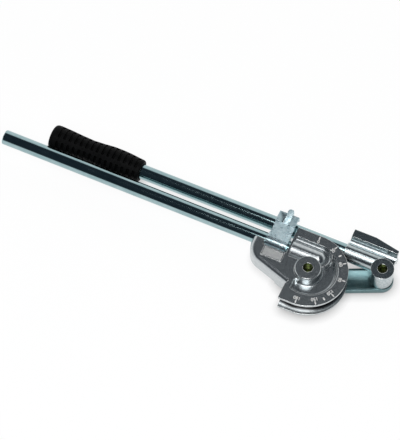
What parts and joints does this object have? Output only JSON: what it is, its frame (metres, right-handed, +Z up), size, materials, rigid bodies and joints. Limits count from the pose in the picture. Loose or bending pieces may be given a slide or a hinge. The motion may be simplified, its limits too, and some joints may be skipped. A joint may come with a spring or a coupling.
{
  "type": "hand pipe bender",
  "caption": "Hand pipe bender with a grooved half-round die on a fixed handle, a grooved shoe on a folding rubber-gripped lever, and a latch that holds the lever folded.",
  "frame": {"origin": "on the die pivot axis, at the flat underside of the link", "axes": "+Z up along the pivot axes, +X along the folded handles towards the head, +Y from the fixed handle towards the lever"},
  "size_m": [0.4418, 0.1062, 0.0401],
  "materials": {
    "cast_aluminium": "bright die casting",
    "zinc_plate": "bright zinc plating on steel",
    "yellow_zinc": "yellow passivated zinc on steel",
    "black_rubber": "moulded, satin"
  },
  "bodies": {
    "frame": {"bend_die": "cast_aluminium", "fixed_handle": "zinc_plate", "handle_pin": "zinc_plate"},
    "link": {"link_bar": "zinc_plate", "die_pivot_screw": "yellow_zinc", "die_washer": "yellow_zinc", "lever_pivot_screw": "yellow_zinc", "lever_washer": "yellow_zinc"},
    "lever": {"lever_head": "zinc_plate", "lever_tube": "zinc_plate", "lever_pin": "zinc_plate", "lever_grip": "black_rubber"},
    "latch": {"latch_hook": "zinc_plate"}
  },
  "joints": [
    {"name": "link_swing", "type": "hinge", "parent": "frame", "child": "link", "pos_m": [0, 0, 0], "axis": [0, 0, 1], "range_deg": [-98, 0]},
    {"name": "lever_swing", "type": "hinge", "parent": "link", "child": "lever", "pos_m": [0.0698, 0.0329, 0], "axis": [0, 0, 1], "range_deg": [-261, 0]},
    {"name": "latch_swing", "type": "hinge", "parent": "frame", "child": "latch", "pos_m": [-0.042, 0.019, 0.0205], "axis": [1, 0, 0], "range_deg": [-15, 65]}
  ]
}
